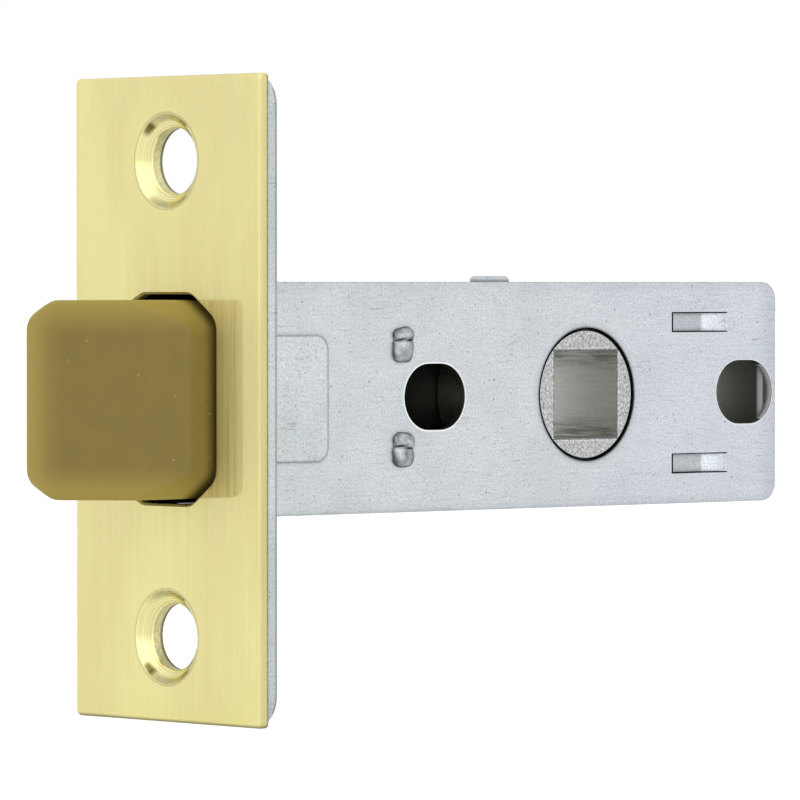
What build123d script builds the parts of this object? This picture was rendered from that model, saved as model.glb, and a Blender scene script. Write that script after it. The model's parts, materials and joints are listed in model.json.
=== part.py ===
import os
from math import cos, radians, sin, tan

from build123d import *

os.makedirs("parts", exist_ok=True)

# Mortice door latch with a sprung plastic bolt, in millimetres.
# X runs into the door from the back face of the faceplate, Y runs across the case and Z is up.
# The origin is the middle of the faceplate's back face, halfway between its two screw holes.

# Faceplate: a brass cover sheet on a steel backing plate
plate_width = 25.0
plate_height = 57.0
cover_thickness = 0.9
cover_corner_radius = 0.5
cover_edge_radius = 0.35
backing_thickness = 1.0
backing_corner_radius = 2.8
opening_edge_chamfer = 0.2

# Screw holes: the cover is dished and drawn through the backing plate as a collar
screw_spacing = 42.0
screw_bore_diameter = 5.9
sink_diameter = 8.4
sink_step_diameter = 7.0
sink_step_depth = 0.65
sink_depth = 1.0
sink_rim_radius = 0.25
sink_bowl_radius = 1.5
sink_lip_radius = 0.3
collar_wall = 0.55
collar_proud = 0.2
collar_clearance = 0.03

# Case: a drawn sheet tray, closed by a cover sheet on its far side
case_thickness = 14.2
case_height = 20.7
sheet = 0.8
fold_radius = 0.3
rear_corner_radius = 1.7
rear_margin = 0.65
seam_clearance = 0.05
panel_length = 10.8
panel_height = 11.3
panel_raise = 0.35
panel_corner_radius = 1.4
panel_edge_radius = 0.2
panel_slope = 30

# Holes through both sides of the case
backset = 45.0
hub_hole_diameter = 12.32
slot_length = 7.5
slot_height = 6.0
front_slot_setback = 19.2
rear_slot_setback = 20.8

# Tongues lanced inwards from both sides, which stop the tail
tongue_setback = 11.1
tongue_end_gap = 1.1
tongue_flat = 4.8
tongue_length = 7.4
tongue_width = 1.65
tongue_drop = 0.1
tongue_depth = 0.9
tongue_kerf = 0.12

# Lugs that hold the case cover in the tray's walls
lug_length = 4.3
lug_proud = 0.55
lug_edge_radius = 0.35
lug_offset = 0.75

# Tabs that hold the tray in the backing plate
tab_width = 2.0
tab_inset = 4.9

# Bolt: an octagon in section, bevelled on the near side
bolt_side_clearance = 0.15
bolt_roof_clearance = 0.8
bolt_chamfer_width = 3.3
near_chamfer_height = 2.3
far_chamfer_height = 1.6
bolt_corner_radius = 1.8
bolt_edge_radius = 0.6
bolt_crest_radius = 3.0
bolt_throw = 11.2
bevel_start = 2.6
bevel_angle = 45
opening_gap_width = 0.35
opening_gap_height = 0.5

# Follower hub: a square hole for the spindle and two arms that pull the tail
spindle_square = 8.1
spindle_corner_radius = 0.2
boss_clearance = 0.31
boss_recess = 0.15
shoulder_overlap = 0.29
hub_end_clearance = 0.15
hub_turn = 80
arm_tip_clearance = 0.2
arm_nose_radius = 0.7
arm_back = 0.15
arm_front = 2.5
arm_root_front = 3.6
arm_clearance = 0.4
contact_gap = 0.27

# Tail: two forked plates pinned to the bolt and joined by two pull bars behind the hub's arms
tail_thickness = 1.0
tail_clearance = 0.2
prong_hub_clearance = 0.25
prong_roof_clearance = 0.25
web_setback = 1.0
web_corner_radius = 1.0
rest_gap = 0.1
stop_gap = 0.2
pocket_clearance = 0.05
bar_thickness = 1.8
bar_inset = 0.1
tenon_wall = 0.5
rivet_diameter = 2.4
rivet_head_diameter = 3.6
rivet_wall = 0.9
rivet_clearance = 0.02

# Spring and the bracket that it bears on, staked through both sides of the case
bracket_setback = 4.1
bracket_thickness = 1.5
bracket_prong_clearance = 0.3
spigot_clearance = 0.2
spigot_wall = 0.7
spigot_length = 1.0
stake_height = 4.7
stake_slot_height = 2.6
stake_head_width = 2.2
stake_head_height = 2.9
stake_head_proud = 0.25
stake_groove = 0.12
stake_upper_share = 0.4
stake_corner = 0.35
stake_slope = 25
bracket_gap = 0.25
spring_bore_diameter = 7.6
spring_bore_reach = 2.5
spring_clearance = 0.3
spring_wire = 0.7
spring_turns = 7.0

# Places along the case
cover_back = -backing_thickness
plate_front = cover_back - cover_thickness
hub_middle = plate_front + backset
front_slot_middle = hub_middle - front_slot_setback
rear_slot_middle = hub_middle + rear_slot_setback
lug_middle = hub_middle + lug_offset
case_rear = rear_slot_middle + slot_length / 2 + rear_margin
rear_inner = case_rear - sheet
tongue_slot_front = hub_middle + tongue_setback
tongue_free_end = tongue_slot_front + tongue_end_gap
tongue_bend = tongue_slot_front + tongue_flat
tongue_root = tongue_slot_front + tongue_length
bracket_middle = front_slot_middle - bracket_setback
bracket_front = bracket_middle - bracket_thickness / 2
bracket_back = bracket_middle + bracket_thickness / 2
bolt_nose = plate_front - bolt_throw
bevel_heel = plate_front - bevel_start
spring_bore_front = plate_front - spring_bore_reach

# Room inside the case, and the bolt and the hub that fill it
side_outer = case_thickness / 2
side_inner = side_outer - sheet
roof_outer = case_height / 2
roof_inner = roof_outer - sheet
bolt_width = 2 * (side_inner - bolt_side_clearance)
bolt_height = 2 * (roof_inner - bolt_roof_clearance)
opening_width = bolt_width + 2 * opening_gap_width
opening_height = bolt_height + 2 * opening_gap_height
boss_diameter = hub_hole_diameter - 2 * boss_clearance
hub_shoulder_diameter = hub_hole_diameter + 2 * shoulder_overlap

# The arms swing evenly about upright, which sets the bolt's travel
half_turn = radians(hub_turn / 2)
arm_reach = roof_inner - arm_nose_radius - arm_tip_clearance
bolt_travel = 2 * arm_reach * sin(half_turn)
bolt_rear = bracket_front - bolt_travel - bracket_gap

# The tail between the case's walls and round the hub
tail_outer = side_inner - tail_clearance
tail_inner = tail_outer - tail_thickness
arm_half_width = tail_inner - arm_clearance
prong_inner = hub_shoulder_diameter / 2 + prong_hub_clearance
prong_outer = roof_inner - prong_roof_clearance
prong_end = tongue_free_end - bolt_travel - stop_gap
tongue_height = prong_inner - tongue_drop
bar_inner = prong_inner + bar_inset
bar_outer = prong_outer - bar_inset
bar_middle = (bar_inner + bar_outer) / 2
bar_front = hub_middle - arm_reach * sin(half_turn) + arm_nose_radius + contact_gap
bar_axis = bar_front + bar_thickness / 2
tenon_diameter = prong_outer - prong_inner - 2 * tenon_wall
web_length = bolt_rear - rest_gap - web_setback
rivet_middle = rest_gap + web_length / 2
rivet_height = spring_bore_diameter / 2 + rivet_wall + rivet_diameter / 2

# The spring and its bracket
bracket_height = 2 * (prong_inner - bracket_prong_clearance)
spring_diameter = spring_bore_diameter - 2 * spring_clearance
spigot_diameter = spring_diameter - 2 * spring_wire - 2 * spigot_clearance
dimple_diameter = spigot_diameter - 2 * spigot_wall


def side_plane(side, distance):
    # A plane across one side of the case: -1 is the near side, 1 the far side, and its normal points outwards
    return Plane(origin=(0, side * distance, 0), x_dir=(1, 0, 0), z_dir=(0, side, 0))


def octagon(width, height, distance):
    # The bolt's section across X: an upright octagon with rounded corners, cut less on the far side
    half_width = width / 2
    half_height = height / 2
    flat_y = half_width - bolt_chamfer_width
    near_z = half_height - near_chamfer_height
    far_z = half_height - far_chamfer_height
    far_side = [(half_width, -far_z), (half_width, far_z), (flat_y, half_height)]
    near_side = [(-flat_y, half_height), (-half_width, near_z), (-half_width, -near_z)]
    with BuildSketch(Plane.YZ.offset(distance)) as section:
        with BuildLine():
            Polyline(far_side + near_side + [(-flat_y, -half_height), (flat_y, -half_height)], close=True)
        make_face()
        fillet(section.vertices(), bolt_corner_radius)
    return section.sketch


def side_holes(side):
    # Spindle hole, two screw slots, slots for the bracket's tenons and the cuts round the tongues
    tongue_middle = (tongue_slot_front + tongue_root) / 2
    with BuildSketch(side_plane(side, side_outer)) as holes:
        with Locations((hub_middle, 0)):
            Circle(hub_hole_diameter / 2)
        with Locations((front_slot_middle, 0), (rear_slot_middle, 0)):
            SlotOverall(slot_length, slot_height)
        with Locations((bracket_middle, stake_height), (bracket_middle, -stake_height)):
            Rectangle(bracket_thickness + 2 * seam_clearance, stake_slot_height + 2 * seam_clearance)
        with Locations((tongue_middle, tongue_height), (tongue_middle, -tongue_height)):
            Rectangle(tongue_root - tongue_slot_front, tongue_width + 2 * tongue_kerf)
    return holes.sketch


def panel_outline(side, distance, margin):
    # A pressed panel that runs back from the front edge, with rounded rear corners
    with BuildSketch(side_plane(side, distance)) as panel:
        Rectangle(panel_length - margin, panel_height - 2 * margin, align=(Align.MIN, Align.CENTER))
        fillet(panel.vertices().group_by(Axis.X)[-1], panel_corner_radius - margin)
    return panel.sketch


def tongue_profile(side, height):
    # A strip set inwards from the side, with a ramp at its rear that joins the sheet again
    outer = side * side_outer
    inner = side * side_inner
    sunk = side * tongue_depth
    with BuildSketch(Plane.XY.offset(height - tongue_width / 2)) as tongue:
        with BuildLine():
            Polyline(
                (tongue_root, outer),
                (tongue_bend, outer - sunk),
                (tongue_free_end, outer - sunk),
                (tongue_free_end, inner - sunk),
                (tongue_bend, inner - sunk),
                (tongue_root, inner),
                close=True,
            )
        make_face()
    return tongue.sketch


# Brass cover of the faceplate
with BuildPart() as faceplate_cover:
    with BuildSketch(Plane.YZ.offset(plate_front)):
        RectangleRounded(plate_width, plate_height, cover_corner_radius)
    extrude(amount=cover_thickness)
    fillet(faceplate_cover.faces().sort_by(Axis.X)[0].edges(), cover_edge_radius)
    with BuildSketch(Plane.YZ.offset(cover_back)):
        with Locations((0, screw_spacing / 2), (0, -screw_spacing / 2)):
            Circle(screw_bore_diameter / 2 + collar_wall)
    extrude(amount=backing_thickness + collar_proud)
    for height in (screw_spacing / 2, -screw_spacing / 2):
        with BuildSketch(Plane.XZ) as dish:
            with BuildLine():
                Polyline(
                    (plate_front, height),
                    (plate_front, height + sink_diameter / 2),
                    (plate_front + sink_step_depth, height + sink_step_diameter / 2),
                    (plate_front + sink_depth, height + screw_bore_diameter / 2),
                    (collar_proud, height + screw_bore_diameter / 2),
                    (collar_proud, height),
                    close=True,
                )
            make_face()
            fillet(dish.vertices().group_by(Axis.X)[2], sink_lip_radius)
            fillet(dish.vertices().group_by(Axis.X)[1], sink_bowl_radius)
        revolve(axis=Axis((0, 0, height), (1, 0, 0)), mode=Mode.SUBTRACT)
    front_face = faceplate_cover.faces().sort_by(Axis.X)[0]
    fillet(front_face.inner_wires().edges(), sink_rim_radius)
    opening = octagon(opening_width, opening_height, plate_front)
    extrude(opening, amount=cover_thickness, mode=Mode.SUBTRACT)
    front_wires = faceplate_cover.faces().sort_by(Axis.X)[0].inner_wires()
    chamfer(front_wires.sort_by(SortBy.LENGTH)[-1].edges(), opening_edge_chamfer)
faceplate_cover.part.label = "faceplate_cover"
export_step(faceplate_cover.part, "parts/faceplate_cover.step")

# Steel backing plate
with BuildPart() as backing_plate:
    with BuildSketch(Plane.YZ.offset(cover_back)):
        RectangleRounded(plate_width, plate_height, backing_corner_radius)
        with Locations((0, screw_spacing / 2), (0, -screw_spacing / 2)):
            Circle(screw_bore_diameter / 2 + collar_wall + collar_clearance, mode=Mode.SUBTRACT)
        with GridLocations(2 * tab_inset, roof_outer + roof_inner, 2, 2):
            Rectangle(tab_width + 2 * seam_clearance, sheet + 2 * seam_clearance, mode=Mode.SUBTRACT)
    extrude(amount=backing_thickness)
    opening = octagon(opening_width, opening_height, cover_back)
    extrude(opening, amount=backing_thickness, mode=Mode.SUBTRACT)
backing_plate.part.label = "backing_plate"
export_step(backing_plate.part, "parts/backing_plate.step")

# Drawn tray of the case: near side, roof, floor and rear end
with BuildPart() as case_body:
    with BuildSketch(side_plane(-1, side_outer)) as tray_outline:
        Rectangle(case_rear, case_height, align=(Align.MIN, Align.CENTER))
        fillet(tray_outline.vertices().group_by(Axis.X)[-1], rear_corner_radius)
    extrude(amount=-case_thickness)
    far_face = case_body.faces().sort_by(Axis.Y)[-1]
    front_face = case_body.faces().sort_by(Axis.X)[0]
    offset(amount=-sheet, openings=[far_face, front_face])
    near_face = case_body.faces().sort_by(Axis.Y)[0]
    fillet(near_face.edges().sort_by(Axis.X)[1:], fold_radius)
    extrude(panel_outline(-1, side_outer, 0), amount=panel_raise, taper=panel_slope)
    panel_top = case_body.faces().sort_by(Axis.Y)[0]
    fillet(panel_top.edges().sort_by(Axis.X)[1:], panel_edge_radius)
    extrude(panel_outline(-1, side_inner, panel_raise), amount=panel_raise, mode=Mode.SUBTRACT)
    extrude(side_holes(-1), amount=-sheet, mode=Mode.SUBTRACT)
    for height in (tongue_height, -tongue_height):
        extrude(tongue_profile(-1, height), amount=tongue_width)
    with BuildSketch(Plane.XY.offset(-roof_outer - lug_proud)):
        with Locations((lug_middle, side_outer)):
            Rectangle(
                lug_length + 2 * seam_clearance,
                sheet + seam_clearance,
                align=(Align.CENTER, Align.MAX),
            )
    extrude(amount=2 * (roof_outer + lug_proud), mode=Mode.SUBTRACT)
    with BuildSketch(Plane.YZ.offset(cover_back)):
        with GridLocations(2 * tab_inset, roof_outer + roof_inner, 2, 2):
            Rectangle(tab_width, sheet)
    extrude(amount=backing_thickness)
case_body.part.label = "case_body"
export_step(case_body.part, "parts/case_body.step")

# Cover sheet on the far side, between the tray's walls, with a peened lug above and below
with BuildPart() as case_cover:
    cover_length = rear_inner - seam_clearance
    with BuildSketch(side_plane(1, side_outer)) as cover_outline:
        Rectangle(cover_length, 2 * (roof_inner - seam_clearance), align=(Align.MIN, Align.CENTER))
        fillet(cover_outline.vertices().group_by(Axis.X)[-1], rear_corner_radius - sheet)
        with Locations((lug_middle, 0)):
            Rectangle(lug_length, 2 * (roof_outer + lug_proud))
    extrude(amount=-sheet)
    lug_ends = case_cover.faces().filter_by(Axis.Z).group_by(Axis.Z)
    fillet(lug_ends[-1].edges() + lug_ends[0].edges(), lug_edge_radius)
    extrude(panel_outline(1, side_outer, 0), amount=panel_raise, taper=panel_slope)
    panel_top = case_cover.faces().sort_by(Axis.Y)[-1]
    fillet(panel_top.edges().sort_by(Axis.X)[1:], panel_edge_radius)
    extrude(panel_outline(1, side_inner, panel_raise), amount=panel_raise, mode=Mode.SUBTRACT)
    extrude(side_holes(1), amount=-sheet, mode=Mode.SUBTRACT)
    for height in (tongue_height, -tongue_height):
        extrude(tongue_profile(1, height), amount=tongue_width)
case_cover.part.label = "case_cover"
export_step(case_cover.part, "parts/case_cover.step")

# Plastic bolt: bevelled head, pockets for the tail plates and a blind bore for the spring
with BuildPart() as latch_bolt:
    extrude(octagon(bolt_width, bolt_height, bolt_nose), amount=bolt_rear - bolt_nose)
    bevel_width = (bevel_heel - bolt_nose) / tan(radians(bevel_angle))
    with BuildSketch(Plane.XY.offset(-bolt_height / 2)):
        with BuildLine():
            Polyline(
                (bevel_heel, -bolt_width / 2),
                (bolt_nose, -bolt_width / 2 + bevel_width),
                (bolt_nose, -bolt_width / 2),
                close=True,
            )
        make_face()
    extrude(amount=bolt_height, mode=Mode.SUBTRACT)
    bevel = latch_bolt.faces().sort_by(Axis.X)[1]
    crest = bevel.edges().filter_by(Axis.Z).sort_by(Axis.X)[0]
    fillet(crest, bolt_crest_radius)
    # Round the outline of the nose, crest and bevel, but not the two lines where the crest runs out
    head_edges = latch_bolt.faces().sort_by(Axis.X)[:3].edges()
    crest_lines = head_edges.filter_by(Axis.Z).sort_by(SortBy.LENGTH)[-4:]
    fillet([edge for edge in head_edges if edge not in crest_lines], bolt_edge_radius)
    with BuildSketch(Plane.YZ.offset(bolt_rear)):
        Circle(spring_bore_diameter / 2)
    extrude(amount=spring_bore_front - bolt_rear, mode=Mode.SUBTRACT)
    pocket_front = rest_gap - pocket_clearance
    pocket_depth = bolt_width / 2 - tail_inner + pocket_clearance
    for side in (-1, 1):
        with BuildSketch(side_plane(side, bolt_width / 2)):
            with Locations((pocket_front, 0)):
                Rectangle(bolt_rear - pocket_front, bolt_height, align=(Align.MIN, Align.CENTER))
        extrude(amount=-pocket_depth, mode=Mode.SUBTRACT)
    with BuildSketch(Plane.XZ):
        with Locations((rivet_middle, rivet_height), (rivet_middle, -rivet_height)):
            Circle(rivet_diameter / 2 + rivet_clearance)
    extrude(amount=bolt_width, both=True, mode=Mode.SUBTRACT)
latch_bolt.part.label = "latch_bolt"
export_step(latch_bolt.part, "parts/latch_bolt.step")

# Steel follower: shouldered barrel, end bosses, two arms leaning forward and the spindle square
with BuildPart() as follower_hub:
    shoulder = side_inner - hub_end_clearance
    with BuildSketch(Plane.XZ):
        with Locations((hub_middle, 0)):
            Circle(hub_shoulder_diameter / 2)
    extrude(amount=shoulder, both=True)
    with BuildSketch(Plane.XZ):
        with Locations((hub_middle, 0)):
            Circle(boss_diameter / 2)
    extrude(amount=side_outer - boss_recess, both=True)
    for upward in (1, -1):
        lean = (-sin(half_turn), 0, upward * cos(half_turn))
        with BuildSketch(Plane(origin=(hub_middle, 0, 0), x_dir=lean, z_dir=(0, upward, 0))):
            with BuildLine():
                Polyline(
                    (0, arm_back),
                    (arm_reach, arm_back),
                    (arm_reach, -arm_front),
                    (0, -arm_root_front),
                    close=True,
                )
            make_face()
            with Locations((arm_reach, 0)):
                Circle(arm_nose_radius)
        extrude(amount=arm_half_width, both=True)
    with BuildSketch(Plane.XZ):
        with Locations((hub_middle, 0)):
            RectangleRounded(spindle_square, spindle_square, spindle_corner_radius)
    extrude(amount=case_thickness, both=True, mode=Mode.SUBTRACT)
follower_hub.part.label = "follower_hub"
export_step(follower_hub.part, "parts/follower_hub.step")

# Forked tail plates: a web beside the bolt and two prongs that pass above and below the hub
for side, plate_name in ((-1, "tail_plate_near"), (1, "tail_plate_far")):
    with BuildPart() as tail_plate:
        with BuildSketch(side_plane(side, tail_outer)) as fork:
            with Locations((rest_gap, 0)):
                Rectangle(prong_end - rest_gap, 2 * prong_outer, align=(Align.MIN, Align.CENTER))
            with Locations((prong_end, 0)):
                Rectangle(
                    prong_end - rest_gap - web_length,
                    2 * prong_inner,
                    align=(Align.MAX, Align.CENTER),
                    mode=Mode.SUBTRACT,
                )
            crotch = fork.vertices().group_by(Axis.X)[1]
            fillet(crotch, web_corner_radius)
            with Locations((bar_axis, bar_middle), (bar_axis, -bar_middle)):
                Circle(tenon_diameter / 2 + rivet_clearance, mode=Mode.SUBTRACT)
        extrude(amount=-tail_thickness)
        with Locations(side_plane(side, tail_outer)):
            with Locations((rivet_middle, rivet_height), (rivet_middle, -rivet_height)):
                CounterSinkHole(
                    rivet_diameter / 2 + rivet_clearance,
                    rivet_head_diameter / 2 + rivet_clearance,
                    counter_sink_angle=90,
                )
    tail_plate.part.label = plate_name
    export_step(tail_plate.part, f"parts/{plate_name}.step")

# Pull bars: a flat bar across each pair of prongs, with a round tenon at each end
for height, bar_name in ((bar_middle, "pull_bar_upper"), (-bar_middle, "pull_bar_lower")):
    with BuildPart() as pull_bar:
        with BuildSketch(Plane.XZ):
            with Locations((bar_axis, height)):
                Rectangle(bar_thickness, bar_outer - bar_inner)
        extrude(amount=tail_inner, both=True)
        with BuildSketch(Plane.XZ):
            with Locations((bar_axis, height)):
                Circle(tenon_diameter / 2)
        extrude(amount=tail_outer, both=True)
    pull_bar.part.label = bar_name
    export_step(pull_bar.part, f"parts/{bar_name}.step")

# Two flush rivets through the bolt and both tail plates
with BuildPart() as tail_rivets:
    head = rivet_head_diameter / 2
    shank = rivet_diameter / 2
    cone = head - shank
    for height in (rivet_height, -rivet_height):
        with BuildSketch(Plane.XY.offset(height)):
            with BuildLine():
                Polyline(
                    (rivet_middle, -tail_outer),
                    (rivet_middle + head, -tail_outer),
                    (rivet_middle + shank, -tail_outer + cone),
                    (rivet_middle + shank, tail_outer - cone),
                    (rivet_middle + head, tail_outer),
                    (rivet_middle, tail_outer),
                    close=True,
                )
            make_face()
        revolve(axis=Axis((rivet_middle, 0, height), (0, 1, 0)))
tail_rivets.part.label = "tail_rivets"
export_step(tail_rivets.part, "parts/tail_rivets.step")

# Bracket across the case: a plate with a pressed spigot for the spring and four staked tenons
with BuildPart() as spring_bracket:
    with BuildSketch(Plane.YZ.offset(bracket_front)):
        Rectangle(2 * (side_inner - seam_clearance), bracket_height)
        with Locations((0, stake_height), (0, -stake_height)):
            Rectangle(2 * side_outer, stake_slot_height)
    extrude(amount=bracket_thickness)
    with BuildSketch(Plane.YZ.offset(bracket_front)):
        Circle(spigot_diameter / 2)
    extrude(amount=-spigot_length)
    with BuildSketch(Plane.YZ.offset(bracket_back)):
        Circle(dimple_diameter / 2)
    extrude(amount=-spigot_length, mode=Mode.SUBTRACT)
    upper_lobe = stake_upper_share * stake_head_height - stake_groove / 2
    lower_lobe = stake_head_height - stake_groove - upper_lobe
    for side in (-1, 1):
        with BuildSketch(side_plane(side, side_outer)) as stake_heads:
            for height in (stake_height, -stake_height):
                with Locations((bracket_middle, height + stake_head_height / 2)):
                    Rectangle(stake_head_width, upper_lobe, align=(Align.CENTER, Align.MAX))
                with Locations((bracket_middle, height - stake_head_height / 2)):
                    Rectangle(stake_head_width, lower_lobe, align=(Align.CENTER, Align.MIN))
            chamfer(stake_heads.vertices(), stake_corner)
        extrude(amount=stake_head_proud, taper=stake_slope)
spring_bracket.part.label = "spring_bracket"
export_step(spring_bracket.part, "parts/spring_bracket.step")

# Compression spring from the bottom of the bolt's bore to the bracket
with BuildPart() as bolt_spring:
    coil_radius = (spring_diameter - spring_wire) / 2
    coil_length = bracket_front - spring_bore_front - spring_wire
    with BuildLine() as coil:
        Helix(
            pitch=coil_length / spring_turns,
            height=coil_length,
            radius=coil_radius,
            center=(spring_bore_front + spring_wire / 2, 0, 0),
            direction=(1, 0, 0),
        )
    with BuildSketch(Plane(origin=coil.line @ 0, z_dir=coil.line % 0)):
        RegularPolygon(spring_wire / 2, 6)
    sweep(path=coil.line, is_frenet=True)
bolt_spring.part.label = "bolt_spring"
export_step(bolt_spring.part, "parts/bolt_spring.step")
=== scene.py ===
import json
import math

import bpy
import numpy as np
from mathutils import Matrix, Vector


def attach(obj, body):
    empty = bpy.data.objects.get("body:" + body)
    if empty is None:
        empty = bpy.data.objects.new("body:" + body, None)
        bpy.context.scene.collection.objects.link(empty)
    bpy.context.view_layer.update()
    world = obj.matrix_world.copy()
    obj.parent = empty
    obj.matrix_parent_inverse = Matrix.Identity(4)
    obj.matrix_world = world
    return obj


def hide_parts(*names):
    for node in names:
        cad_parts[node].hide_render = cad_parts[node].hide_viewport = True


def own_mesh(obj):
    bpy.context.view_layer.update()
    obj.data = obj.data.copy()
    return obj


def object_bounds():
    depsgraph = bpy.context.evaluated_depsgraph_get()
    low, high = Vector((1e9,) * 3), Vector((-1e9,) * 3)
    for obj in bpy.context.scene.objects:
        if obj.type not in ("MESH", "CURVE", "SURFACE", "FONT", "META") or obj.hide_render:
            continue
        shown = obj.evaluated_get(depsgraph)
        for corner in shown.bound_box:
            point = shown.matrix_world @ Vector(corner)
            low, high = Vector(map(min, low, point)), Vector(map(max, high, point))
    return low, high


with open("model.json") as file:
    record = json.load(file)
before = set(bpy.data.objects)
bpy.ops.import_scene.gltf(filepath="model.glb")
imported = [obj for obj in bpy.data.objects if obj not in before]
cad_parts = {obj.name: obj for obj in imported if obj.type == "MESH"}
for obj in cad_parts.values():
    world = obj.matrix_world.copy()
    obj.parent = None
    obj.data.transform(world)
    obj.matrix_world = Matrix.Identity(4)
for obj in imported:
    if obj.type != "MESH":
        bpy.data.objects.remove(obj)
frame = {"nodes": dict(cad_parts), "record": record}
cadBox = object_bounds()
scene = bpy.context.scene
print("frame:", len(frame["nodes"]), "nodes")


# A node of one kind, with its settings, and with a value or a link for each named input.
def addNode(tree, kind, inputs=None, **settings):
    made = tree.nodes.new(kind)
    for name, value in settings.items():
        setattr(made, name, value)
    for name, value in (inputs or {}).items():
        if isinstance(value, bpy.types.NodeSocket):
            tree.links.new(value, made.inputs[name])
        else:
            made.inputs[name].default_value = value
    return made


# Object coordinates in metres, stretched by a number for each axis.
def stretched(tree, scale):
    coords = addNode(tree, "ShaderNodeTexCoord").outputs["Object"]
    return addNode(tree, "ShaderNodeMapping", {"Vector": coords, "Scale": scale}).outputs["Vector"]


# Noise between 0 and 1 on stretched coordinates.
def noise(tree, scale, detail=4.0, rough=0.55):
    inputs = {"Vector": stretched(tree, scale), "Scale": 1.0, "Detail": detail, "Roughness": rough}
    return addNode(tree, "ShaderNodeTexNoise", inputs).outputs["Fac"]


# A value carried from one range to another and held at the ends.
def remap(tree, value, low, high, newLow, newHigh, way="LINEAR"):
    inputs = {"Value": value, "From Min": low, "From Max": high, "To Min": newLow, "To Max": newHigh}
    return addNode(tree, "ShaderNodeMapRange", inputs, interpolation_type=way).outputs["Result"]


# The same, with a slow start and end.
def fade(tree, value, low, high, newLow, newHigh):
    return remap(tree, value, low, high, newLow, newHigh, "SMOOTHSTEP")


def maths(tree, operation, first, second):
    return addNode(tree, "ShaderNodeMath", {0: first, 1: second}, operation=operation).outputs["Value"]


def absolute(tree, value):
    return maths(tree, "ABSOLUTE", value, 0.0)


# Two values mixed by a factor.
def blendValues(tree, factor, first, second):
    return addNode(tree, "ShaderNodeMix", {0: factor, 2: first, 3: second}).outputs[0]


# Two colours mixed by a factor.
def blendColours(tree, factor, first, second):
    return addNode(tree, "ShaderNodeMix", {0: factor, 6: first, 7: second}, data_type="RGBA").outputs[2]


# A colour made lighter or darker by a number.
def shade(tree, colour, factor):
    made = addNode(tree, "ShaderNodeVectorMath", {"Vector": colour, "Scale": factor}, operation="SCALE")
    return made.outputs["Vector"]


# A colour darkened or lightened to a number where a mask is 1.
def shadeWhere(tree, colour, mask, factor):
    return shade(tree, colour, remap(tree, mask, 0, 1, 1.0, factor))


# The three object coordinates of a surface, in metres.
def axes(tree):
    coords = addNode(tree, "ShaderNodeTexCoord").outputs["Object"]
    split = addNode(tree, "ShaderNodeSeparateXYZ", {"Vector": coords}).outputs
    return split["X"], split["Y"], split["Z"]


# 1 within a distance of a place on one axis, 0 outside, with a short soft edge.
def band(tree, value, place, half, soft):
    away = absolute(tree, maths(tree, "SUBTRACT", value, place))
    return remap(tree, away, half, half + soft, 1, 0)


# Masks joined: all of them, any of them, or what one leaves out.
def allOf(tree, *masks):
    product = masks[0]
    for mask in masks[1:]:
        product = maths(tree, "MULTIPLY", product, mask)
    return product


def anyOf(tree, *masks):
    most = masks[0]
    for mask in masks[1:]:
        most = maths(tree, "MAXIMUM", most, mask)
    return most


def notIn(tree, mask):
    return maths(tree, "SUBTRACT", 1.0, mask)


# Distance from a point in a plane.
def farFrom(tree, first, firstPlace, second, secondPlace):
    firstWay = maths(tree, "SUBTRACT", first, firstPlace)
    secondWay = maths(tree, "SUBTRACT", second, secondPlace)
    squares = maths(tree, "ADD", allOf(tree, firstWay, firstWay), allOf(tree, secondWay, secondWay))
    return maths(tree, "SQRT", squares, 0.0)


# Scattered dots: 1 about the middle of a share of the cells, 0 beyond a radius, which is a part of a cell.
def dots(tree, cells, share, radius):
    inputs = {"Vector": stretched(tree, (cells, cells, cells)), "Scale": 1.0, "Randomness": 1.0}
    spots = addNode(tree, "ShaderNodeTexVoronoi", inputs).outputs
    pick = addNode(tree, "ShaderNodeSeparateColor", {"Color": spots["Color"]}).outputs[0]
    chosen = remap(tree, pick, share, share + 0.01, 1, 0)
    return allOf(tree, chosen, remap(tree, spots["Distance"], 0.35 * radius, radius, 1, 0))


# Painted shade in creases (ambient occlusion): 1 on open surfaces, falling where other surfaces are near.
def openness(tree, reach):
    return addNode(tree, "ShaderNodeAmbientOcclusion", {"Distance": reach}, samples=8).outputs["AO"]


# A material with its Principled shader, ready for links.
def startMaterial(name, metallic, roughness):
    material = bpy.data.materials.new(name)
    material.use_nodes = True
    tree = material.node_tree
    shader = tree.nodes["Principled BSDF"]
    shader.inputs["Metallic"].default_value = metallic
    shader.inputs["Roughness"].default_value = roughness
    return material, tree, shader


def addBump(tree, shader, height, strength, distance):
    inputs = {"Height": height, "Strength": strength, "Distance": distance}
    bump = addNode(tree, "ShaderNodeBump", inputs)
    tree.links.new(bump.outputs["Normal"], shader.inputs["Normal"])
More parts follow.
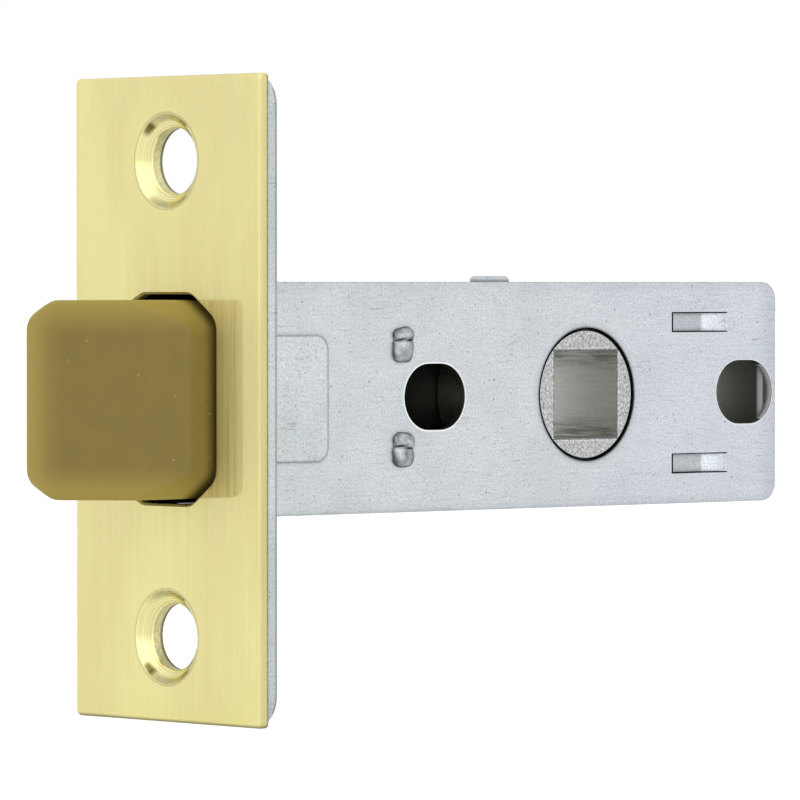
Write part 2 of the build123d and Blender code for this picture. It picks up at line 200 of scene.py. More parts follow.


# Brass: sheet brushed upright, its skin a mix of specks too fine to see, half of them bright as a mirror and half
# dull, with painted shade on its folded edges and a dark seam along them. The screw dishes have turning rings, a
# painted shade line at the rim, painted shade arcs above and below and a painted dark reflection spot, and their
# bores are dull and grainy, with painted shade at their rear end.
brassLook = {
    "pale": (0.86, 0.80, 0.388, 1),
    "deep": (0.81, 0.735, 0.362, 1),
    "reflectionColour": (0.16, 0.13, 0.03, 1),
    "bore": (0.78, 0.73, 0.42, 1),
    "brush": (5200, 5200, 70),
    "polish": (60000, 60000, 42000),
    "broad": (2300, 2300, 30),
    "burrs": (5200, 5200, 2600),
    "patches": (130, 130, 45),
    "rings": 5200.0,
    "polishStep": (0.45, 0.49),
    "roughness": (0.035, 0.6),  # bright specks, dull specks
    "dishRoughness": 0.2,
    "fold": 0.0123,  # half the width of the flat face
    "foldShade": 0.81,
    "seam": -0.00112,
    "seamShade": 0.35,
    "dishHeight": 0.021,
    "dishRadius": 0.0043,
    "dishRimShadeLevel": 0.72,
    "arc": (0.0027, 0.0039),  # where the arcs begin and are full, above and below the hole's middle
    "arcShade": 0.5,
    "boreRadius": 0.00297,
    "boreEnd": -0.0001,
    "darkReflection": (0.00265, 0.0239),
    "spotRadius": 0.0039,
}


def makeBrass(look):
    material, tree, shader = startMaterial("brass", 1.0, 0.2)
    x, y, z = axes(tree)
    upDown = absolute(tree, z)
    brush = noise(tree, look["brush"], 5.0, 0.6)
    polish = noise(tree, look["polish"], 1.0, 0.5)
    broad = noise(tree, look["broad"], 2.0)
    burrs = noise(tree, look["burrs"], 4.0, 0.7)
    patches = noise(tree, look["patches"], 2.0)

    # The sheet, painted shade on its folded edges, and their seam
    colour = blendColours(tree, remap(tree, patches, 0.38, 0.62, 0, 1), look["deep"], look["pale"])
    colour = shade(tree, colour, remap(tree, brush, 0.3, 0.7, 0.977, 1.023))
    fold = remap(tree, absolute(tree, y), look["fold"], look["fold"] + 0.00012, 0, 1)
    colour = shadeWhere(tree, colour, fold, look["foldShade"])
    seam = allOf(
        tree,
        fold,
        remap(tree, x, look["seam"] - 0.00012, look["seam"], 0, 1),
        remap(tree, burrs, 0.35, 0.6, 0.45, 1),
    )
    colour = shadeWhere(tree, colour, seam, look["seamShade"])

    # The dishes: rings, a painted shade line at the rim, painted shade arcs and a painted dark reflection spot
    fromAxis = farFrom(tree, y, 0.0, upDown, look["dishHeight"])
    dish = remap(tree, fromAxis, look["dishRadius"], look["dishRadius"] + 0.0001, 1, 0)
    ringInputs = {"W": fromAxis, "Scale": look["rings"], "Detail": 2.0}
    rings = addNode(tree, "ShaderNodeTexNoise", ringInputs, noise_dimensions="1D").outputs["Fac"]
    colour = shadeWhere(tree, colour, dish, remap(tree, rings, 0.34, 0.66, 0.85, 1.12))
    dishRimShade = allOf(
        tree,
        band(tree, fromAxis, look["dishRadius"], 0.00003, 0.00006),
        remap(tree, burrs, 0.4, 0.6, 0.3, 1),
    )
    colour = shadeWhere(tree, colour, dishRimShade, look["dishRimShadeLevel"])
    # Painted shade: dark arcs on each dish above and below its hole
    fromMiddle = absolute(tree, maths(tree, "SUBTRACT", upDown, look["dishHeight"]))
    arc = allOf(
        tree,
        fade(tree, fromMiddle, *look["arc"], 0, 1),
        band(tree, fromAxis, look["spotRadius"], 0.0002, 0.0002),
        remap(tree, burrs, 0.35, 0.6, 0.6, 1),
    )
    colour = shadeWhere(tree, colour, arc, look["arcShade"])
    # Painted dark reflection: a spot in each dish
    spotFar = farFrom(tree, y, look["darkReflection"][0], upDown, look["darkReflection"][1])
    darkReflection = allOf(
        tree,
        remap(tree, spotFar, 0.0004, 0.0009, 0.85, 0),
        band(tree, fromAxis, look["spotRadius"], 0.00013, 0.0002),
    )
    colour = blendColours(tree, darkReflection, colour, look["reflectionColour"])

    # The bores, with painted shade at their rear end, and painted shade in the creases
    bore = remap(tree, fromAxis, look["boreRadius"], look["boreRadius"] + 0.00003, 1, 0)
    wall = shade(tree, look["bore"][:3], remap(tree, burrs, 0.3, 0.7, 0.72, 1.2))
    wall = shade(tree, wall, remap(tree, x, look["boreEnd"] - 0.00008, look["boreEnd"] + 0.0001, 1.0, 0.35))
    colour = blendColours(tree, bore, colour, wall)
    creaseShade = remap(tree, openness(tree, 0.0004), 0.35, 0.95, 0.45, 1.0)
    tree.links.new(shade(tree, colour, creaseShade), shader.inputs["Base Color"])

    # The skin: bright or dull by the polish, even in the dishes and dull in the bores
    polish = maths(tree, "ADD", polish, remap(tree, broad, 0.3, 0.7, -0.04, 0.04))
    rough = remap(tree, polish, *look["polishStep"], *look["roughness"])
    rough = blendValues(tree, dish, rough, look["dishRoughness"])
    rough = blendValues(tree, bore, rough, look["roughness"][1])
    tree.links.new(rough, shader.inputs["Roughness"])
    addBump(tree, shader, brush, 0.03, 0.00001)
    return material


# Distance in the side's plane from the edge of a screw slot, which is two half circles joined by straights.
def slotDistance(tree, x, z, middle, halfStraight, radius):
    along = absolute(tree, maths(tree, "SUBTRACT", x, middle))
    past = maths(tree, "MAXIMUM", maths(tree, "SUBTRACT", along, halfStraight), 0.0)
    return maths(tree, "SUBTRACT", farFrom(tree, past, 0.0, z, 0.0), radius)


# Distance in the side's plane from the edge of the pressed panel, which has round rear corners.
def panelDistance(tree, x, upDown, length, half, radius):
    pastRear = maths(tree, "MAXIMUM", maths(tree, "SUBTRACT", x, length - radius), 0.0)
    pastTop = maths(tree, "MAXIMUM", maths(tree, "SUBTRACT", upDown, half - radius), 0.0)
    return maths(tree, "SUBTRACT", farFrom(tree, pastRear, 0.0, pastTop, 0.0), radius)


# Zinc plate: fine grain, pits and short scratches along the sheet, greyer to the front and bluer to the rear.
# The punched slots have a painted highlight on their edges, the hub's hole painted shade round it, the stakes
# painted shade and light, the tongues' ramps a painted highlight, and inside the case the steel is painted dark as
# shade.
zincLook = {
    "front": (0.58, 0.62, 0.62, 1),
    "rear": (0.605, 0.64, 0.695, 1),
    "cloud": (0.69, 0.71, 0.745, 1),
    "edge": (0.95, 0.96, 0.96, 1),
    "insideShade": (0.29, 0.30, 0.255, 1),
    "grain": (5200, 5200, 5200),
    "streaks": (420, 7000, 7000),
    "clouds": (150, 150, 150),
    "scratches": (150, 3600, 3600),
    "scratchPatches": (210, 500, 500),
    "stakeLightAndShade": (1100, 1100, 1100),
    "length": 0.068,
    "sideOuter": 0.0071,
    "roofOuter": 0.01035,
    "plateEdge": 0.012,
    "panel": (0.0108, 0.00565, 0.0014),  # length, half height, corner radius
    "panelShade": 0.64,
    "hub": (0.0431, 0.0062),  # middle, radius of its hole
    "hubHaloShade": 0.82,
    "hubRimShade": 0.5,
    "slots": (0.0239, 0.0639),
    "slotStraight": 0.00075,
    "slotRadius": 0.003,
    "rimStrengths": (1.0, 0.3),
    "stake": (0.02, 0.0017),  # middle, half width
    "tongue": (0.0586, 0.0066),  # middle along the case, height
    "tongueHalf": (0.0033, 0.00084),
    "ramp": (0.059, 0.0597, 0.0613),  # bend, where the shine starts to fade, root
    "flatShade": 0.84,
    "rampHighlight": 1.26,
    "endWall": 0.0675,
    "glint": 0.0057,
}


def makeZinc(look):
    material, tree, shader = startMaterial("platedSteel", 1.0, 0.4)
    x, y, z = axes(tree)
    depth, upDown = absolute(tree, y), absolute(tree, z)
    side, roof, length = look["sideOuter"], look["roofOuter"], look["length"]

    # The sheet: clouds, grain, streaks, pits, scratches and pale specks
    grain = noise(tree, look["grain"], 5.0, 0.75)
    streaks = noise(tree, look["streaks"], 3.0, 0.6)
    clouds = noise(tree, look["clouds"], 3.0)
    pits = anyOf(tree, dots(tree, 1800, 0.5, 0.17), dots(tree, 900, 0.35, 0.14))
    scratches = allOf(
        tree,
        band(tree, noise(tree, look["scratches"], 1.0), 0.5, 0.004, 0.01),
        remap(tree, noise(tree, look["scratchPatches"], 2.0), 0.56, 0.62, 0, 0.7),
    )
    tone = blendColours(tree, remap(tree, x, 0.0, length, 0, 1), look["front"], look["rear"])
    tone = blendColours(tree, remap(tree, clouds, 0.35, 0.7, 0, 0.6), tone, look["cloud"])
    tone = shade(tree, tone, remap(tree, grain, 0.25, 0.75, 0.64, 1.34))
    tone = shade(tree, tone, remap(tree, streaks, 0.3, 0.7, 0.95, 1.05))
    tone = shadeWhere(tree, tone, anyOf(tree, pits, scratches), 0.56)
    tone = shadeWhere(tree, tone, dots(tree, 2100, 0.4, 0.15), 1.25)

    # Painted shade to the rear end, on the roof's folds, along the plate's rear edge and in the creases
    tone = shade(tree, tone, remap(tree, x, length - 0.0025, length, 1.0, 0.88))
    tone = shade(tree, tone, remap(tree, upDown, roof - 0.0011, roof, 1.0, 0.9))
    plateEdge = allOf(
        tree,
        remap(tree, depth, look["plateEdge"], look["plateEdge"] + 0.0001, 0, 1),
        remap(tree, x, -0.0003, -0.0001, 0, 1),
    )
    tone = shadeWhere(tree, tone, plateEdge, 0.55)
    tone = shade(tree, tone, remap(tree, openness(tree, 0.0005), 0.4, 0.95, 0.28, 1.0))

    # Painted shade along the panel's rear edge
    panelLength, panelHalf, panelCorner = look["panel"]
    panelFar = panelDistance(tree, x, upDown, panelLength, panelHalf, panelCorner)
    panelRearShade = allOf(
        tree,
        remap(tree, panelFar, -0.0005, 0.00012, 0, 1),
        remap(tree, panelFar, 0.00012, 0.00024, 1, 0),
        fade(tree, x, panelLength - panelCorner, panelLength, 0, 1),
    )
    tone = shadeWhere(tree, tone, panelRearShade, look["panelShade"])

    # Painted shade round the hub's hole, mottled, and darker painted shade at its rim
    onFace = remap(tree, depth, side - 0.00004, side - 0.00001, 0, 1)
    hubMiddle, hubRadius = look["hub"]
    hubFar = farFrom(tree, x, hubMiddle, z, 0.0)
    hubHalo = allOf(
        tree,
        remap(tree, hubFar, hubRadius, hubRadius + 0.0007, 1, 0),
        remap(tree, clouds, 0.4, 0.6, 0.4, 1),
        onFace,
    )
    tone = shadeWhere(tree, tone, hubHalo, look["hubHaloShade"])
    hubRim = allOf(tree, remap(tree, hubFar, hubRadius, hubRadius + 0.00016, 1, 0), onFace)
    tone = shadeWhere(tree, tone, hubRim, look["hubRimShade"])

    # Painted highlights on the screw slots' deburred rims
    for middle, strength in zip(look["slots"], look["rimStrengths"]):
        away = slotDistance(tree, x, z, middle, look["slotStraight"], look["slotRadius"])
        rimHighlight = allOf(tree, remap(tree, away, 0.00006, 0.00017, strength, 0), onFace)
        tone = blendColours(tree, rimHighlight, tone, look["edge"])

    # Painted shade on the stakes, darkest at the foot, and mottled painted light and shade on them
    stakeMiddle, stakeHalf = look["stake"]
    raised = remap(tree, depth, side + 0.00001, side + 0.00003, 0, 1)
    stake = allOf(tree, raised, band(tree, x, stakeMiddle, stakeHalf, 0.0001))
    tone = shadeWhere(tree, tone, stake, remap(tree, depth, side, side + 0.00035, 0.15, 0.66))
    stakeLightAndShade = noise(tree, look["stakeLightAndShade"], 3.0, 0.6)
    tone = shadeWhere(tree, tone, stake, remap(tree, stakeLightAndShade, 0.36, 0.64, 0.6, 1.35))

    # Painted shade on the tongues' flats and a painted highlight on their ramps
    below = remap(tree, depth, side - 0.00012, side - 0.00006, 1, 0)
    tongue = allOf(
        tree,
        band(tree, x, look["tongue"][0], look["tongueHalf"][0], 0.00005),
        band(tree, upDown, look["tongue"][1], look["tongueHalf"][1], 0.00003),
        remap(tree, depth, 0.0059, 0.006, 0, 1),
        below,
    )
    bend, shineEnd, root = look["ramp"]
    flat = allOf(tree, tongue, remap(tree, x, bend - 0.0001, bend, 1, 0))
    tone = shadeWhere(tree, tone, flat, look["flatShade"])
    ramp = allOf(tree, tongue, remap(tree, x, bend, bend + 0.0002, 0, 1), remap(tree, x, shineEnd, root, 1, 0))
    tone = shadeWhere(tree, tone, ramp, look["rampHighlight"])

    # The rear slot's sheared end, bright to the outside and with painted shade darkening it to the inside, and a
    # painted pool of light on the end wall behind it
    slotEnd = look["slots"][1] + look["slotStraight"] + look["slotRadius"]
    slotWall = allOf(
        tree,
        band(tree, x, slotEnd - 0.0007, 0.00072, 0.00005),
        remap(tree, upDown, look["slotRadius"], look["slotRadius"] + 0.00005, 1, 0),
        remap(tree, depth, 0.0063, 0.00635, 0, 1),
    )
    cutEdge = allOf(tree, slotWall, below)
    cutTone = shade(tree, look["edge"][:3], remap(tree, depth, 0.0064, 0.007, 0.22, 1.0))
    tone = blendColours(tree, cutEdge, tone, cutTone)
    glint = allOf(
        tree,
        band(tree, x, look["endWall"], 0.00006, 0.00005),
        band(tree, depth, look["glint"], 0.00025, 0.0003),
        remap(tree, upDown, 0.002, 0.0029, 1, 0),
    )
    tone = blendColours(tree, glint, tone, look["edge"])
    matt = anyOf(tree, cutEdge, glint)
    tree.links.new(remap(tree, matt, 0, 1, 1.0, 0.15), shader.inputs["Metallic"])

    # Painted shade inside the case and in the plate's opening: a dark tone, darker in creases and darkest to the
    # front, lighter to the rear
    under = remap(tree, upDown, roof - 0.0005, roof - 0.0004, 1, 0)
    within = band(tree, x, length / 2, length / 2 - 0.0002, 0.0001)
    clean = anyOf(tree, tongue, slotWall, glint)
    inside = allOf(tree, below, under, within, notIn(tree, clean))
    opening = allOf(
        tree,
        remap(tree, x, -0.00002, 0.00002, 1, 0),
        remap(tree, depth, 0.0072, 0.0074, 1, 0),
        remap(tree, upDown, 0.0106, 0.0108, 1, 0),
    )
    shadedInside = shade(tree, look["insideShade"][:3], remap(tree, grain, 0.25, 0.75, 0.5, 1.5))
    shadedInside = shade(tree, shadedInside, remap(tree, openness(tree, 0.003), 0.1, 0.6, 0.35, 1.25))
    shadedInside = shade(tree, shadedInside, remap(tree, x, 0.004, 0.016, 0.12, 0.42))
    shadedInside = shade(tree, shadedInside, remap(tree, x, 0.045, 0.06, 1.0, 1.9))
    colour = blendColours(tree, anyOf(tree, inside, opening), tone, shadedInside)
    tree.links.new(colour, shader.inputs["Base Color"])
    tree.links.new(remap(tree, grain, 0.3, 0.7, 0.34, 0.5), shader.inputs["Roughness"])
    height = maths(tree, "ADD", grain, maths(tree, "MULTIPLY", streaks, 0.6))
    addBump(tree, shader, height, 0.25, 0.00002)
    return material


# Bolt plastic: moulded olive nylon that light sinks into a little, with painted light making it paler along its
# thin edges.
# It is mottled, with pale specks, and has painted shade in its creases, darkest where it leaves the plate.
plasticLook = {
    "main": (0.285, 0.208, 0.046, 1),
    "shade": (0.25, 0.188, 0.044, 1),
    "edgeLight": (0.44, 0.338, 0.074, 1),
    "speck": (0.55, 0.48, 0.24, 1),
    "mottle": (420, 420, 420),
    "skin": (7000, 7000, 7000),
    "nose": -0.0131,
    "halfHeight": 0.00875,
    "sink": 0.35,
    "sinkDepth": 0.0006,
    "sinkColours": (1.0, 0.75, 0.2),
}


def makePlastic(look):
    material, tree, shader = startMaterial("boltPlastic", 0.0, 0.5)
    x, y, z = axes(tree)
    mottle = noise(tree, look["mottle"], 5.0, 0.65)
    skin = noise(tree, look["skin"], 3.0)
    base = blendColours(tree, remap(tree, mottle, 0.3, 0.7, 0, 1), look["main"], look["shade"])
    base = shade(tree, base, remap(tree, skin, 0.3, 0.7, 0.96, 1.04))

    # Painted light: paler at the tip of the bevel and along the upper and lower edges
    nose, halfHeight = look["nose"], look["halfHeight"]
    tip = allOf(tree, fade(tree, y, 0.0012, 0.006, 0, 0.95), fade(tree, x, nose + 0.0006, nose + 0.003, 1, 0))
    brim = fade(tree, absolute(tree, z), halfHeight - 0.0032, halfHeight - 0.0002, 0, 0.8)
    thick = allOf(tree, notIn(tree, tip), notIn(tree, brim))
    base = blendColours(tree, notIn(tree, thick), base, look["edgeLight"])
    specks = allOf(tree, dots(tree, 900, 0.22, 0.11), remap(tree, mottle, 0.3, 0.7, 0.5, 0.9))
    base = blendColours(tree, specks, base, look["speck"])
    # Painted shade in the creases
    base = shade(tree, base, remap(tree, openness(tree, 0.0012), 0.45, 0.95, 0.45, 1.0))
    tree.links.new(base, shader.inputs["Base Color"])
    tree.links.new(remap(tree, skin, 0.3, 0.7, 0.44, 0.56), shader.inputs["Roughness"])
    shader.inputs["Specular IOR Level"].default_value = 0.3
    shader.inputs["Subsurface Weight"].default_value = look["sink"]
    shader.inputs["Subsurface Radius"].default_value = look["sinkColours"]
    shader.inputs["Subsurface Scale"].default_value = look["sinkDepth"]
    addBump(tree, shader, skin, 0.12, 0.00001)
    return material


# Hub steel: pressed powder, granular and pale on its ends, with a painted shade line and a painted highlight on the
# burr round the square, broach marks along its walls, painted shade about the bosses in the gap that the case
# leaves, and painted light beyond it.
hubLook = {
    "light": (0.80, 0.82, 0.82, 1),
    "dark": (0.19, 0.197, 0.192, 1),
    "wall": (0.62, 0.63, 0.59, 1),
    "mark": (0.24, 0.245, 0.22, 1),
    "burrHighlight": (0.80, 0.81, 0.80, 1),
    "grain": (4200, 4200, 4200),
    "marks": (4200, 240, 4200),
    "end": 0.00693,
    "middle": 0.0431,
    "square": 0.0042,
    "gapShadeRadius": 0.0062,
    "barrelShades": (0.1, 1.5),  # in the painted shade of the gap, painted light beyond it
}


def makeHubSteel(look):
    material, tree, shader = startMaterial("hubSteel", 1.0, 0.45)
    x, y, z = axes(tree)
    sideways, upDown = absolute(tree, maths(tree, "SUBTRACT", x, look["middle"])), absolute(tree, z)
    grain = noise(tree, look["grain"], 5.0, 0.75)
    marks = noise(tree, look["marks"], 4.0, 0.6)

    # The end faces, with pores, a painted shade line and a painted highlight on the burr round the square
    endFace = remap(tree, absolute(tree, y), look["end"] - 0.00002, look["end"], 0, 1)
    ends = blendColours(tree, remap(tree, grain, 0.33, 0.67, 0, 1), look["dark"], look["light"])
    ends = shadeWhere(tree, ends, dots(tree, 1900, 0.5, 0.2), 0.45)
    fromSquare = maths(tree, "MAXIMUM", sideways, upDown)
    ends = shadeWhere(tree, ends, band(tree, fromSquare, look["square"] - 0.00011, 0.00006, 0.00004), 0.5)
    burrHighlight = allOf(
        tree,
        band(tree, fromSquare, look["square"] + 0.00004, 0.00003, 0.00006),
        remap(tree, grain, 0.42, 0.6, 0.0, 0.8),
    )
    ends = blendColours(tree, burrHighlight, ends, look["burrHighlight"])

    # The square's walls, marked most near its corners
    nearCorner = remap(tree, upDown, 0.0021, 0.0034, 0.1, 0.85)
    deepMarks = allOf(tree, remap(tree, marks, 0.42, 0.6, 1, 0), nearCorner)
    walls = blendColours(tree, deepMarks, look["wall"], look["mark"])
    walls = shade(tree, walls, remap(tree, grain, 0.25, 0.75, 0.75, 1.25))
    colour = blendColours(tree, endFace, walls, ends)

    # The outside: painted shade about the bosses, in the gap, and painted light beyond it
    inSquare = allOf(
        tree,
        band(tree, x, look["middle"], look["square"], 0.0001),
        band(tree, z, 0.0, look["square"], 0.0001),
    )
    barrel = allOf(tree, notIn(tree, inSquare), notIn(tree, endFace))
    fromAxis = farFrom(tree, x, look["middle"], z, 0.0)
    gapShading = remap(tree, fromAxis, look["gapShadeRadius"], look["gapShadeRadius"] + 0.0001, *look["barrelShades"])
    tree.links.new(shadeWhere(tree, colour, barrel, gapShading), shader.inputs["Base Color"])
    tree.links.new(remap(tree, grain, 0.3, 0.7, 0.38, 0.6), shader.inputs["Roughness"])
    height = maths(tree, "ADD", grain, maths(tree, "MULTIPLY", marks, 0.8))
    addBump(tree, shader, height, 0.3, 0.00003)
    return material


# Spring wire: drawn steel, darker in patches.
springLook = {
    "light": (0.52, 0.52, 0.51, 1),
    "dark": (0.30, 0.30, 0.30, 1),
    "patches": (900, 900, 900),
}


def makeSpringSteel(look):
    material, tree, shader = startMaterial("springSteel", 1.0, 0.35)
    patches = noise(tree, look["patches"], 4.0)
    colour = blendColours(tree, remap(tree, patches, 0.35, 0.65, 0, 1), look["dark"], look["light"])
    tree.links.new(colour, shader.inputs["Base Color"])
    addBump(tree, shader, patches, 0.1, 0.00002)
    return material


materials = {
    "brass": makeBrass(brassLook),
    "plated_steel": makeZinc(zincLook),
    "bolt_plastic": makePlastic(plasticLook),
    "hub_steel": makeHubSteel(hubLook),
    "spring_steel": makeSpringSteel(springLook),
}
print("materials:", len(materials))


# A mesh from rows of points: quads between neighbouring rows, closed round each row, with a fan on each end.
def tubeMesh(name, points):
    rows, sides = points.shape[:2]
    index = np.arange(rows * sides).reshape(rows, sides)
    along = np.roll(index, -1, axis=1)
    quads = np.stack([index[:-1], along[:-1], along[1:], index[1:]], axis=-1).reshape(-1, 4)
    ends = points[[0, -1]].mean(axis=1)
    count = rows * sides
    firstFan = np.stack([along[0], index[0], np.full(sides, count)], axis=-1)
    lastFan = np.stack([index[-1], along[-1], np.full(sides, count + 1)], axis=-1)
    vertices = np.concatenate([points.reshape(-1, 3), ends])
    mesh = bpy.data.meshes.new(name)
    mesh.from_pydata(vertices.tolist(), [], quads.tolist() + firstFan.tolist() + lastFan.tolist())
    mesh.polygons.foreach_set("use_smooth", np.ones(len(mesh.polygons), dtype=bool))
    piece = bpy.data.objects.new(name, mesh)
    scene.collection.objects.link(piece)
    return piece


# Bolt spring: a helix about X whose pitch falls to one wire thickness in the end turns, swept by a round wire.
springShape = {
    "front": -0.0044,
    "rear": 0.01905,
    "wire": 0.00035,  # radius
    "coil": 0.00315,  # radius to the wire's middle
    "turns": 7.0,
    "deadTurns": 1.1,
    "blend": 0.8,  # turns over which the pitch opens
    "steps": 520,
    "sides": 14,
    "keep": 0.526,
}


def makeSpring(shape):
    angle = np.linspace(0, 2 * np.pi * shape["turns"], shape["steps"])
    fromEnd = np.minimum(angle, angle[-1] - angle) / (2 * np.pi)
    ease = np.clip((fromEnd - shape["deadTurns"] + shape["blend"] / 2) / shape["blend"], 0, 1)
    ease = ease * ease * (3 - 2 * ease)
    closed = np.concatenate([[0], np.cumsum((1 - ease[1:]) * np.diff(angle))]) * shape["wire"] / np.pi
    opened = np.concatenate([[0], np.cumsum(ease[1:] * np.diff(angle))])
    length = shape["rear"] - shape["front"] - 2 * shape["wire"]
    along = closed + opened * (length - closed[-1]) / opened[-1]
    radial = np.stack([np.zeros_like(angle), np.cos(angle), np.sin(angle)], axis=-1)
    centre = radial * shape["coil"]
    centre[:, 0] = shape["front"] + shape["wire"] + along
    tangent = np.gradient(centre, axis=0)
    tangent /= np.linalg.norm(tangent, axis=1, keepdims=True)
    across = np.cross(tangent, radial)
    turn = np.linspace(0, 2 * np.pi, shape["sides"], endpoint=False)
    ring = np.cos(turn)[:, None] * radial[:, None, :] + np.sin(turn)[:, None] * across[:, None, :]
    spring = tubeMesh("springWire", centre[:, None, :] + shape["wire"] * ring)
    spring.data.materials.append(materials["spring_steel"])
    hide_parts("bolt_spring")
    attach(spring, "case")
    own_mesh(spring)


makeSpring(springShape)
print("spring made")

# Stake heads: over each tenon of the bracket, a low dome on a rounded oblong, whose outline is a power sum of the
# cosine and the sine. The dome's height is a power of the distance from its middle, less a groove across it and a
# fall to each side of a ridge, which is in another place above and below the groove, with a nick at its edge where
# the groove runs out.
stakeShape = {
    "middle": 0.02,
    "rise": 0.0047,
    "face": 0.0071,
    "halfWidth": 0.0013,
    "halfHeight": 0.00163,
    "squareness": 3.4,
    "wobble": (0.03, 0.02),
    "proud": 0.00078,
    "sunk": 0.00006,
    "ridges": (0.00035, -0.0003),  # above the groove, below it
    "slant": 0.3,
    "fall": 0.36,
    "groove": 0.0002,
    "grooveWidth": 0.00016,
    "grooveWave": (0.06, 1400),
    "nick": 0.12,
    "nickWidth": 0.16,
    "dent": 0.00003,
    "dentWaves": (2600, 2300),
    "steps": (44, 120),  # from the middle to the edge, round it
    "heads": {"upper": (1, 0.26, 0.5), "lower": (-1, 0.1, 2.1)},  # up or down, groove's place, turn of the waves
}


def makeStake(shape, name, side, upward, grooveAt, turn):
    rings, sides = shape["steps"]
    angle = side * np.linspace(0, 2 * np.pi, sides, endpoint=False)
    share = np.linspace(0.02, 1, rings)[:, None] ** 0.8
    cos, sin = np.cos(angle), np.sin(angle)
    power, halfWidth, halfHeight = shape["squareness"], shape["halfWidth"], shape["halfHeight"]
    reach = (np.abs(cos / halfWidth) ** power + np.abs(sin / halfHeight) ** power) ** (-1 / power)
    slow, fast = shape["wobble"]
    reach = reach * (1 + slow * np.sin(2 * angle + turn) + fast * np.sin(5 * angle + 2 * turn))
    nick = np.exp(-(((sin * reach / halfHeight - grooveAt) / shape["nickWidth"]) ** 2)) * (cos > 0)
    reach = reach * (1 - shape["nick"] * nick)
    across, up = share * reach * cos, share * reach * sin
    height = shape["proud"] * (1 - share**6)
    waveHeight, waves = shape["grooveWave"]
    grooveLine = halfHeight * (grooveAt + waveHeight * np.sin(waves * across + turn))
    groove = np.exp(-(((up - grooveLine) / shape["grooveWidth"]) ** 2))
    height = height - shape["groove"] * groove * (1 - share**6)
    ridge = np.where(up > grooveLine, *shape["ridges"]) + shape["slant"] * (up - grooveLine)
    fall = shape["fall"] * np.abs(across - ridge)
    wavesAcross, wavesUp = shape["dentWaves"]
    dents = shape["dent"] * np.sin(wavesAcross * across + turn) * np.cos(wavesUp * up + turn)
    height = height + (dents - fall) * (1 - share**5)
    place = [shape["middle"] + across, side * (shape["face"] + height), upward * shape["rise"] + up]
    points = np.stack(place, axis=-1)
    foot = points[-1:].copy()
    foot[..., 1] = side * (shape["face"] - shape["sunk"])
    stake = tubeMesh(name, np.concatenate([points, foot]))
    stake.data.materials.append(materials["plated_steel"])
    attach(stake, "case")


for side, sideName in ((-1, "near"), (1, "far")):
    for level, (upward, grooveAt, turn) in stakeShape["heads"].items():
        makeStake(stakeShape, f"{sideName}{level.title()}Stake", side, upward, grooveAt, turn)
print("stake heads made")

# Every CAD node takes the material of its slot in the record.
for entry in frame["record"]["subparts"]:
    part = frame["nodes"][entry["node"]]
    part.data.materials.clear()
    part.data.materials.append(materials[entry["material_slot"]])
print("CAD nodes dressed")


# A stage surface's own strength: one for the light on the object, one for what metal mirrors, one for the camera.
def stageStrength(tree, lit, mirrored, seen):
    path = addNode(tree, "ShaderNodeLightPath").outputs
    plain = anyOf(tree, path["Is Camera Ray"], path["Is Transmission Ray"])
    return blendValues(tree, plain, blendValues(tree, path["Is Glossy Ray"], lit, mirrored), seen)


# Floor: a wide white square under the plate's lower edge. Much of its white is its own, so shadows stay faint.
floorShape = {
    "half": 6.0,
    "height": cadBox[0].z,
    "glow": (0.25, 0.46, 0.72),  # as light, in mirrors, to the camera
    "white": 0.6,
}


def makeFloor(shape):
    half, height, white = shape["half"], shape["height"], shape["white"]
    corners = [(-half, -half, height), (half, -half, height), (half, half, height), (-half, half, height)]
    mesh = bpy.data.meshes.new("floor")
    mesh.from_pydata(corners, [], [(0, 1, 2, 3)])
    floor = bpy.data.objects.new("floor", mesh)
    scene.collection.objects.link(floor)
    material = bpy.data.materials.new("floorWhite")
    material.use_nodes = True
    tree = material.node_tree
    tree.nodes.clear()
    diffuse = addNode(tree, "ShaderNodeBsdfDiffuse", {"Color": (white, white, white, 1)})
    strength = stageStrength(tree, *shape["glow"])
    glow = addNode(tree, "ShaderNodeEmission", {"Color": (1, 1, 1, 1), "Strength": strength})
    both = addNode(tree, "ShaderNodeAddShader", {0: diffuse.outputs[0], 1: glow.outputs[0]})
    addNode(tree, "ShaderNodeOutputMaterial", {"Surface": both.outputs[0]})
    mesh.materials.append(material)


makeFloor(floorShape)

# World: a white tent. The camera sees it plain white, and metal mirrors it brighter to the left, front and top.
tentLook = {
    "bright": (-0.62, -0.62, 0.48),  # the way to its brightest part
    "mirror": (0.70, 1.20),
    "light": 0.8,
    "seen": 1.0,
}


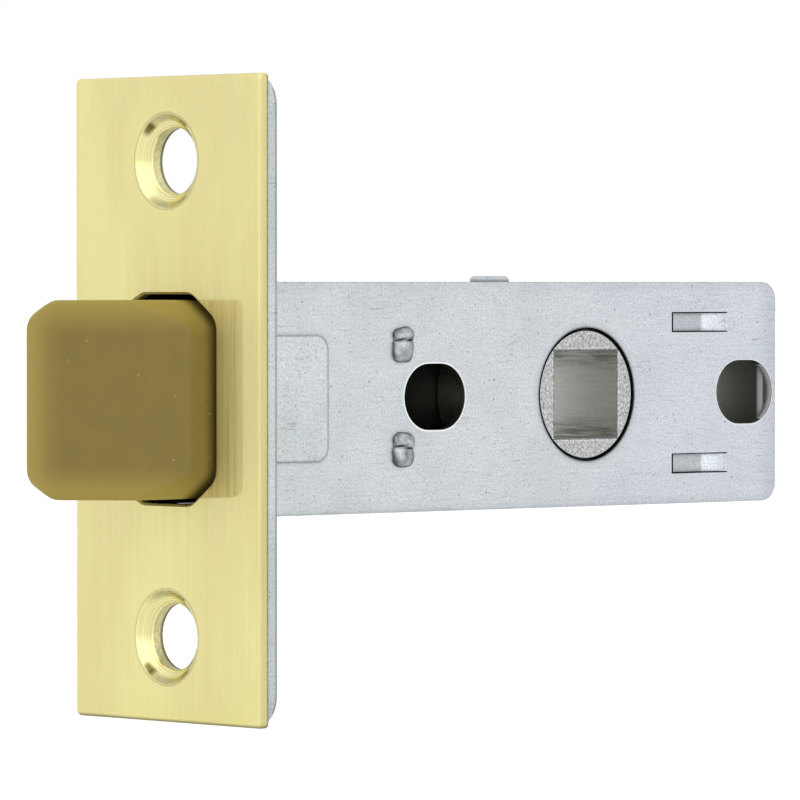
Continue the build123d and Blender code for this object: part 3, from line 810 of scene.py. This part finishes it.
def makeTent(look):
    world = bpy.data.worlds.new("tent")
    scene.world = world
    world.use_nodes = True
    tree = world.node_tree
    tree.nodes.clear()
    way = addNode(tree, "ShaderNodeTexCoord").outputs["Generated"]
    inputs = {0: way, 1: look["bright"]}
    facing = addNode(tree, "ShaderNodeVectorMath", inputs, operation="DOT_PRODUCT").outputs["Value"]
    mirrored = remap(tree, facing, -0.9, 0.9, *look["mirror"])
    strength = stageStrength(tree, look["light"], mirrored, look["seen"])
    tent = addNode(tree, "ShaderNodeBackground", {"Color": (1, 1, 1, 1), "Strength": strength})
    addNode(tree, "ShaderNodeOutputWorld", {"Surface": tent.outputs[0]})


makeTent(tentLook)

# Lamps: square and soft, each with its place, its size and its power, aimed at the middle of the latch.
lampSet = {
    "keyLamp": ((-0.55, -0.35, 0.5), 1.0, 1.0),
    "fillLamp": ((0.3, -0.65, 0.35), 0.9, 0.4),
}
latchMiddle = Vector((0.03, 0, 0))


def addLamp(name, place, size, power):
    lamp = bpy.data.lights.new(name, "AREA")
    lamp.shape = "SQUARE"
    lamp.size = size
    lamp.energy = power
    holder = bpy.data.objects.new(name, lamp)
    scene.collection.objects.link(holder)
    holder.location = place
    holder.rotation_mode = "QUATERNION"
    holder.rotation_quaternion = (latchMiddle - holder.location).to_track_quat("-Z", "Y")


for lampName, settings in lampSet.items():
    addLamp(lampName, *settings)
print("floor, world and lamps ready")

# Camera: the photo's own viewpoint, on a ray from the plate's middle, with the photo's narrow field. The lens is
# the fit's focal length in pixels, carried to the sensor's width.
cameraFit = {
    "azimuth": -42.868,
    "elevation": 1.033,
    "distance": 0.565877,
    "middle": (-0.0019, 0, 0),
    "right": 0.020598,
    "up": -0.00007,
    "sensor": 36,
    "lens": 6417.686 * 36 / 800,
}


def makeCamera(fit):
    azimuth, elevation = math.radians(fit["azimuth"]), math.radians(fit["elevation"])
    away = Vector(
        (
            math.sin(azimuth) * math.cos(elevation),
            -math.cos(azimuth) * math.cos(elevation),
            math.sin(elevation),
        )
    )
    right = Vector((0, 0, 1)).cross(away).normalized()
    up = away.cross(right)
    data = bpy.data.cameras.new("photoCamera")
    data.sensor_width = fit["sensor"]
    data.lens = fit["lens"]
    data.clip_start = 0.01
    camera = bpy.data.objects.new("photoCamera", data)
    scene.collection.objects.link(camera)
    camera.rotation_mode = "QUATERNION"
    camera.rotation_quaternion = Matrix((right, up, away)).transposed().to_quaternion()
    camera.location = Vector(fit["middle"]) + away * fit["distance"] + right * fit["right"] + up * fit["up"]
    scene.camera = camera


makeCamera(cameraFit)
scene.view_settings.view_transform = "Standard"
print("camera ready")
